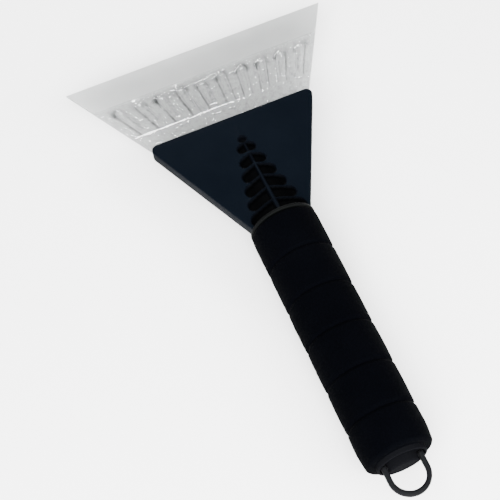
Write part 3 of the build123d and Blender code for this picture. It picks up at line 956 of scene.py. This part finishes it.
# Patches in which the painted shade on the rib walls is stronger or weaker.
WALL_PATCH = 4.5 * MM
PATCH_LEAST = 0.35
# Painted shade round each rib's tip: where it sits, how dark it is and how blurred it is.
TIP_WALL, TIP_SHADE, TIP_BLUR = 0.95, 0.8, (0.1, 0.7)
FROST_START, FROST_FULL = RIB_FRONT - 2 * MM, RIB_FRONT + 4 * MM
STEP_CLEAR, STEP_BLUR = 0.3 * MM, 1.5 * MM


def blade_half(y):
    """Half the blade's width at a place along the handle."""
    if y < HEAD_FRONT:
        return BLADE_HALF_ROOT + SIDE_SLOPE * (y - HEAD_FRONT)
    return between(BLADE_HALF_ROOT, BLADE_HALF_TIP, (y - HEAD_FRONT) / BLADE_REACH)


def nearest_rib(share, y):
    """How far across its nearest rib a point lies, the rib's half width and how much longer it is."""
    order = min(max(round(share / RIB_PITCH + (RIBS - 1) / 2), 0), RIBS - 1)
    across = (share - (order - (RIBS - 1) / 2) * RIB_PITCH) * blade_half(y)
    half = RIB_HALF * blade_half(y)
    return across, half, RIB_UNEVEN * noise.noise(Vector((1.7 * order + 0.3, 0.5, 0.5)))


def rib_end(half, uneven):
    """Where a rib's round tip starts."""
    return RIB_FRONT - RIB_RUN_OUT - half + uneven


def rib_shares(share, y):
    """How much of a rib and of its scoop stands at a share of the blade's half width."""
    if not RIB_BACK - STEP_RUN < y < RIB_FRONT:
        return 0.0, 0.0
    across, half, uneven = nearest_rib(share, y)
    end = rib_end(half, uneven)
    away = hypot(across, max(y - end, 0.0)) / half
    before = SCOOP_START + 2 * uneven - y
    scoop_away = max(hypot(across, max(y - end + SCOOP_GAP, 0.0)), before) / (SCOOP_WIDTH * half)
    return 1 - smooth_step(RIB_FLANK, 1.0, away), 1 - smooth_step(SCOOP_FLANK, 1.0, scoop_away)


def painted_tip_shade(share, y):
    """Painted shade: soft grey round the tip end of each rib, standing in for the light its end wall bends
    away.
    """
    across, half, uneven = nearest_rib(share, y)
    end = rib_end(half, uneven)
    if y < end - half:
        return 0.0
    away = abs(hypot(across, max(y - end, 0.0)) / half - TIP_WALL)
    return TIP_SHADE * (1 - smooth_step(*TIP_BLUR, away)) * smooth_step(end - half, end, y)


def blade_floor(y):
    """Height of the blade's upper face between the ribs."""
    if y < TANG_FRONT:
        return TANG_TOP
    if y < RIB_BACK:
        return between(ROOT_TOP, ROOT_STEP_TOP, max(y - HEAD_FRONT, 0.0) / (RIB_BACK - HEAD_FRONT))
    if y < RIB_FRONT:
        floor = between(FLOOR_BACK, FLOOR_FRONT, (y - RIB_BACK) / (RIB_FRONT - RIB_BACK))
        return between(ROOT_STEP_TOP, floor, smooth_step(RIB_BACK, RIB_BACK + STEP_RUN, y))
    return between(FLOOR_FRONT, TIP_TOP, (y - RIB_FRONT) / (BLADE_TIP - RIB_FRONT))


def blade_top(share, y):
    """Height of the blade's upper face, ribs included."""
    floor = blade_floor(y)
    rib, scoop = rib_shares(share, y)
    along = min(max((y - RIB_BACK) / (RIB_FRONT - RIB_BACK), 0.0), 1.0)
    top = between(RIB_TOP_BACK, RIB_TOP_FRONT, along)
    rise = max(top - floor, 0.0) * rib
    return floor + rise - between(SCOOP_DEEP, SCOOP_SHALLOW, along) * scoop * rib


def blade_wall_shade(co):
    """How much painted shade the blade gets at a point: on the steep walls and tips of its ribs, in
    patches, standing in for the light they bend away.
    """
    share = co.x / blade_half(co.y)
    rib, scoop = rib_shares(share, co.y)
    upper = co.z > blade_floor(co.y) - SCOOP_DEEP and co.y > RIB_BACK
    if not upper:
        return 0.0
    grey = 4 * rib * (1 - rib) + 1.2 * scoop * (1 - scoop) + painted_tip_shade(share, co.y)
    patch = smooth_step(-0.3, 0.4, noise.noise(Vector((co.x, 0.5 * co.y, 0)) / WALL_PATCH))
    return min(grey, 1.0) * between(PATCH_LEAST, 1.0, patch)


def frost_share(co):
    """How frosted the blade is: only the bevel is."""
    return smooth_step(FROST_START, FROST_FULL, co.y)


def sunk_share(co):
    """How far the plastic sank as it cooled: nowhere on the bevel, nor along the root's step."""
    step_away = abs(co.y - RIB_BACK - STEP_RUN / 2)
    return min(smooth_step(STEP_CLEAR, STEP_BLUR, step_away), 1 - frost_share(co))


BLADE_SHARES = ladder((-1.0, -0.99, 2), (-0.99, 0.99, 262), (0.99, 1.0, 2))
BLADE_ROWS = ladder(
    (BLADE_LOW.y, TANG_FRONT - SHARP, 6),
    (TANG_FRONT - SHARP, TANG_FRONT, 1),
    (TANG_FRONT, HEAD_FRONT, 3),
    (HEAD_FRONT, RIB_BACK, 9),
    (RIB_BACK, RIB_BACK + STEP_RUN, 7),
    (RIB_BACK + STEP_RUN, RIB_FRONT - RIB_RUN_OUT, 52),
    (RIB_FRONT - RIB_RUN_OUT, BLADE_TIP, 10),
)


def blade_top_place(column, row):
    """Where a grid point of the blade's upper face lies."""
    y = BLADE_ROWS[row]
    return BLADE_SHARES[column] * blade_half(y), y, blade_top(BLADE_SHARES[column], y)


def blade_bottom_place(column, row):
    """Where a grid point of the blade's lower face lies."""
    y = BLADE_ROWS[row]
    drop = max(y - HEAD_FRONT, 0.0) / BLADE_REACH
    return BLADE_SHARES[column] * blade_half(y), y, between(SEAM, TIP_BOTTOM, drop)


blade, bm = new_mesh("clear_blade")
sheet_pair(bm, len(BLADE_SHARES), len(BLADE_ROWS), blade_top_place, blade_bottom_place)
close_mesh(blade, bm)
cutter, bm = new_mesh("tang_holes")
for side in (-1, 1):
    height = TANG_TOP + 2 * RUN_PAST
    spot = (side * TANG_SCREW[0], TANG_SCREW[1], TANG_TOP / 2)
    rod(bm, SCREW_BOSS_R + TANG_HOLE_GAP, height, Matrix.Translation(spot), 48)
carve(blade, "DIFFERENCE", cutter, bm)
# Painted shade on the rib walls and tips, which the blade material reads as "wall".
paint(blade, "wall", blade_wall_shade)
paint(blade, "frost", frost_share)
# Where sink marks dent the surface; the blade material also greys them as painted shade.
paint(blade, "sunk", sunk_share)
finish_piece(blade, CLEAR)

# --------------------------------------------
# Foam grip: six crowned segments between soft grooves

GRIP_R = GRIP_HIGH.x
SEGMENTS = 6
SEGMENTS_AHEAD = 2.5
SEGMENT_PITCH = GRIP_HIGH.y / SEGMENTS_AHEAD
GROOVE_HALF = 1.7 * MM
GROOVE_DEPTH = 0.75 * MM
CREASE_HALF = 0.7 * MM
CREASE_DEPTH = 0.35 * MM
SHOULDER_R = 2.2 * MM
TAPER_LENGTH = 10.0 * MM
TAPER_DROP = 0.7 * MM
CROWN = 0.12 * MM
FOAM_GAP = 0.05 * MM
GRIP_BORE_R = TUBE_R + FOAM_GAP
POCKET_R = CAP_HIGH.x + FOAM_GAP
POCKET_DEPTH = 1.15 * MM
FOAM_WAVE, FOAM_WAVE_SIZE = 0.1 * MM, 14 * MM
FOAM_PITS, FOAM_PIT_SIZE = 0.035 * MM, 1.3 * MM
SHOULDER_STEPS = 8


def foam_radius(y):
    """The grip's radius along the handle, grooves included; its last segment is shorter."""
    place = (GRIP_HIGH.y - y) / SEGMENT_PITCH
    crown = CROWN * (1 - (2 * (place % 1) - 1) ** 2)
    groove = min(max(round(place), 1), SEGMENTS - 1)
    away = abs(y - (GRIP_HIGH.y - groove * SEGMENT_PITCH))
    dip = GROOVE_DEPTH * cos(pi / 2 * min(away / GROOVE_HALF, 1.0)) ** 2
    crease = CREASE_DEPTH * max(1 - away / CREASE_HALF, 0.0)
    taper = TAPER_DROP * smooth_step(0, TAPER_LENGTH, GRIP_LOW.y + TAPER_LENGTH - y)
    return GRIP_R + crown - dip - crease - taper - CROWN


def shoulder(y, side):
    """A quarter round from the grip's end face at y to its side."""
    edge = foam_radius(y - side * SHOULDER_R)
    arc = []
    for step in range(SHOULDER_STEPS + 1):
        angle = pi / 2 * step / SHOULDER_STEPS
        arc.append((edge - SHOULDER_R * (1 - sin(angle)), y - side * SHOULDER_R * (1 - cos(angle))))
    return arc


GRIP_STATIONS = ladder((GRIP_HIGH.y - SHOULDER_R, GRIP_LOW.y + SHOULDER_R, 250))[1:-1]
pocket_end = GRIP_LOW.y + POCKET_DEPTH
foam, bm = new_mesh("grip_foam")
turned(
    bm,
    [(between(GRIP_BORE_R, GRIP_R - CROWN - SHOULDER_R, step / 5), GRIP_HIGH.y) for step in range(5)]
    + shoulder(GRIP_HIGH.y, 1)
    + [(foam_radius(y), y) for y in GRIP_STATIONS]
    + shoulder(GRIP_LOW.y, -1)[::-1]
    + [(POCKET_R, GRIP_LOW.y), (POCKET_R, pocket_end), (GRIP_BORE_R, pocket_end)],
    steps=144,
)
for vertex in bm.verts:
    radius = hypot(vertex.co.x, vertex.co.z)
    if radius > POCKET_R + MM:
        swell = FOAM_WAVE * noise.noise(vertex.co / FOAM_WAVE_SIZE)
        pits = FOAM_PITS * noise.noise(vertex.co / FOAM_PIT_SIZE)
        grow = 1 + (swell + pits) / radius
        vertex.co.x *= grow
        vertex.co.z *= grow
close_mesh(foam, bm)
finish_piece(foam, FOAM, crease=60)

# --------------------------------------------
# Collar ring

RING_EDGE_R = 0.5 * MM
ring, bm = new_mesh("ring")
turned(
    bm,
    rounded(
        [
            (GRIP_BORE_R, RING_LOW.y, 0),
            (RING_HIGH.x, RING_LOW.y, RING_EDGE_R),
            (RING_HIGH.x, RING_HIGH.y, RING_EDGE_R),
            (GRIP_BORE_R, RING_HIGH.y, 0),
        ]
    ),
    steps=128,
)
close_mesh(ring, bm)
finish_piece(ring, RING_PLASTIC)

# --------------------------------------------
# End cap: a plug, a rimmed flange and the oval boss that carries the loop

CAP_R = CAP_HIGH.x
CAP_RIM = 1.1 * MM
CAP_FLOOR = GRIP_LOW.y - 0.2 * MM
CAP_RIM_BACK = CAP_FLOOR - 2.0 * MM
CAP_DISC_FRONT = CAP_FLOOR + 1.3 * MM
PLUG_R = 8.4 * MM
PLUG_BORE_R = 6.3 * MM
PLUG_EDGE_R = 0.5 * MM
CAP_EDGE_R = 0.45 * MM
CAP_FILLET = 0.5 * MM
BOSS_HALF_X = 7.2 * MM
BOSS_HALF_Z = 4.2 * MM
BOSS_EDGE_R = 0.7 * MM
BOSS_LAND = 0.15 * MM
PEG_HOLE_R = 1.0 * MM
PEG_R = 0.95 * MM

cap, bm = new_mesh("cap")
turned(
    bm,
    rounded(
        [
            (0, CAP_FLOOR, 0),
            (CAP_R - CAP_RIM, CAP_FLOOR, CAP_FILLET),
            (CAP_R - CAP_RIM, CAP_RIM_BACK, CAP_EDGE_R),
            (CAP_R, CAP_RIM_BACK, CAP_EDGE_R),
            (CAP_R, CAP_DISC_FRONT, 0),
            (PLUG_R, CAP_DISC_FRONT, 0),
            (PLUG_R, CAP_HIGH.y, PLUG_EDGE_R),
            (PLUG_BORE_R, CAP_HIGH.y, PLUG_EDGE_R),
            (PLUG_BORE_R, CAP_DISC_FRONT, CAP_FILLET),
            (0, CAP_DISC_FRONT, 0),
        ]
    ),
    steps=112,
    closed=False,
)
close_mesh(cap, bm)

cutter, bm = new_mesh("boss")
bmesh.ops.create_circle(bm, cap_ends=True, segments=80, radius=1.0)
bmesh.ops.rotate(bm, verts=bm.verts, cent=(0, 0, 0), matrix=Matrix.Rotation(pi / 2, 3, "X"))
bmesh.ops.scale(bm, verts=bm.verts, vec=(BOSS_HALF_X, 1, BOSS_HALF_Z))
bmesh.ops.translate(bm, verts=bm.verts, vec=(0, CAP_FLOOR + RUN_PAST / 2, 0))
raised = bmesh.ops.extrude_face_region(bm, geom=bm.faces[:])
outer = [item for item in raised["geom"] if isinstance(item, bmesh.types.BMVert)]
bmesh.ops.translate(bm, verts=outer, vec=(0, CAP_LOW.y - CAP_FLOOR - RUN_PAST / 2, 0))
lip = [edge for edge in bm.edges if all(vertex.co.y < CAP_LOW.y + SHARP for vertex in edge.verts)]
bmesh.ops.bevel(
    bm, geom=lip, offset=BOSS_EDGE_R, segments=5, profile=0.5, affect="EDGES", material=-1
)
flat_end = [face for face in bm.faces if all(vertex.co.y < CAP_LOW.y + SHARP for vertex in face.verts)]
bmesh.ops.inset_individual(bm, faces=flat_end, thickness=BOSS_LAND)
carve(cap, "UNION", cutter, bm)

LOOP_HALF_SPAN = 8.6 * MM
LOOP_WIDTH = 2.35 * MM
LOOP_INNER = LOOP_HALF_SPAN - LOOP_WIDTH / 2
PEG_LENGTH = 2.0 * MM
PEG_END_GAP = 0.2 * MM
cutter, bm = new_mesh("peg_holes")
for side in (-1, 1):
    depth = PEG_LENGTH + PEG_END_GAP
    spot = Matrix.Translation((side * (LOOP_INNER - depth / 2), HINGE.y, HINGE.z))
    rod(bm, PEG_HOLE_R, depth, spot @ Matrix.Rotation(pi / 2, 4, "Y"))
carve(cap, "DIFFERENCE", cutter, bm)
finish_piece(cap, CAP_PLASTIC)

# --------------------------------------------
# Hang loop: two straight arms and a half round, with a rounded eye and a peg at each end

LOOP_ARM = HINGE.y - LOOP_LOW.y - LOOP_HALF_SPAN - LOOP_WIDTH / 2
LOOP_HEIGHT = LOOP_HIGH.z - LOOP_LOW.z
LOOP_ROUND = 0.95 * MM

loop, bm = new_mesh("loop")
half_width, half_height = LOOP_WIDTH / 2, LOOP_HEIGHT / 2
section = rounded(
    [
        (-half_width, -half_height, LOOP_ROUND),
        (half_width, -half_height, LOOP_ROUND),
        (half_width, 0, 0),
        (half_width, half_height, LOOP_ROUND),
        (-half_width, half_height, LOOP_ROUND),
        (-half_width, 0, 0),
    ],
    steps=6,
)
points = [bm.verts.new((-LOOP_HALF_SPAN + x, HINGE.y, z)) for x, z in section]
edges = [bm.edges.new(pair) for pair in zip(points, points[1:] + points[:1])]
upper = [edge for edge in edges if all(vertex.co.z > -MERGE for vertex in edge.verts)]
bmesh.ops.spin(
    bm,
    geom=[vertex for vertex in points if vertex.co.z > -MERGE] + upper,
    cent=HINGE,
    axis=(1, 0, 0),
    angle=-pi,
    steps=16,
)
arm = bmesh.ops.extrude_edge_only(bm, edges=edges)
tip = [item for item in arm["geom"] if isinstance(item, bmesh.types.BMVert)]
tip_edges = [item for item in arm["geom"] if isinstance(item, bmesh.types.BMEdge)]
bmesh.ops.translate(bm, verts=tip, vec=(0, -LOOP_ARM, 0))
bmesh.ops.spin(
    bm,
    geom=tip + tip_edges,
    cent=(0, HINGE.y - LOOP_ARM, 0),
    axis=(0, 0, 1),
    angle=pi / 2,
    steps=28,
)
bmesh.ops.remove_doubles(bm, verts=bm.verts, dist=MERGE)
bmesh.ops.mirror(bm, geom=bm.verts[:] + bm.edges[:] + bm.faces[:], axis="X", merge_dist=SHARP)
close_mesh(loop, bm)

cutter, bm = new_mesh("pegs")
for side in (-1, 1):
    length = PEG_LENGTH + half_width
    spot = Matrix.Translation((side * (LOOP_INNER - PEG_LENGTH + length / 2), HINGE.y, HINGE.z))
    rod(bm, PEG_R, length, spot @ Matrix.Rotation(pi / 2, 4, "Y"))
carve(loop, "UNION", cutter, bm)
finish_piece(loop, LOOP_PLASTIC)

# --------------------------------------------
# Carried-over CAD nodes, bodies and slots

for node, material in (
    ("head_cover", HEAD_PLASTIC),
    ("handle_tube", TUBE_PLASTIC),
    ("head_screws", STEEL),
    ("spigot_pin", STEEL),
):
    for material_slot in frame["nodes"][node].material_slots:
        material_slot.material = material

for piece, body, node, slot in (
    (head, "scraper", "head_body", "head_plastic"),
    (blade, "scraper", "scraper_blade", "clear_blade"),
    (foam, "scraper", "foam_grip", "grip_foam"),
    (ring, "scraper", "collar_ring", "ring_plastic"),
    (cap, "scraper", "end_cap", "cap_plastic"),
    (loop, "loop", "hang_loop", "loop_plastic"),
):
    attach(piece, body)
    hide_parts(node)

# --------------------------------------------
# Studio: pale floor, soft lights and the camera

FLOOR_GAP = 0.2 * MM
floor, bm = new_mesh("floor")
bmesh.ops.create_grid(bm, x_segments=8, y_segments=8, size=3.0)
bmesh.ops.translate(bm, verts=bm.verts, vec=(0, 0, GRIP_LOW.z - FLOOR_GAP))
bm.to_mesh(floor.data)
bm.free()
floor.data.materials.append(pale_floor("pale_floor"))

world = bpy.data.worlds.new("studio")
world.use_nodes = True
world.node_tree.nodes["Background"].inputs["Color"].default_value = (1.0, 1.0, 1.0, 1)
world.node_tree.nodes["Background"].inputs["Strength"].default_value = 0.5
bpy.context.scene.world = world

MIDDLE = Vector((0, 0.045, 0))
for name, direction, distance, size, power in (
    ("key_light", (-0.35, -0.65, 0.75), 1.2, 1.2, 110),
    ("fill_light", (0.6, -0.6, 0.6), 1.2, 1.0, 40),
    ("glint_light", (0.05, 0.94, 0.36), 1.0, 0.2, 14),
):
    lamp = bpy.data.lights.new(name, "AREA")
    lamp.size = size
    lamp.energy = power
    stand = bpy.data.objects.new(name, lamp)
    away = Vector(direction).normalized()
    stand.matrix_world = (
        Matrix.Translation(MIDDLE + away * distance) @ away.to_track_quat("Z", "Y").to_matrix().to_4x4()
    )
    bpy.context.scene.collection.objects.link(stand)

CAMERA_AZIMUTH = radians(15.53)
CAMERA_ELEVATION = radians(60.27)
CAMERA_ROLL = radians(-8.07)
CAMERA_LENS, CAMERA_FILM = 92.65, 36
CAMERA_PLACE = Vector((-99.16, -292.16, 521.94)) * MM + Vector((0, GRIP_HIGH.y, 0))
lens = bpy.data.cameras.new("camera")
lens.lens = CAMERA_LENS
lens.sensor_width = CAMERA_FILM
lens.clip_start = 10 * MM
camera = bpy.data.objects.new("camera", lens)
camera.matrix_world = (
    Matrix.Translation(CAMERA_PLACE)
    @ Matrix.Rotation(-CAMERA_AZIMUTH, 4, "Z")
    @ Matrix.Rotation(pi / 2 - CAMERA_ELEVATION, 4, "X")
    @ Matrix.Rotation(CAMERA_ROLL, 4, "Z")
)
bpy.context.scene.collection.objects.link(camera)
bpy.context.scene.camera = camera
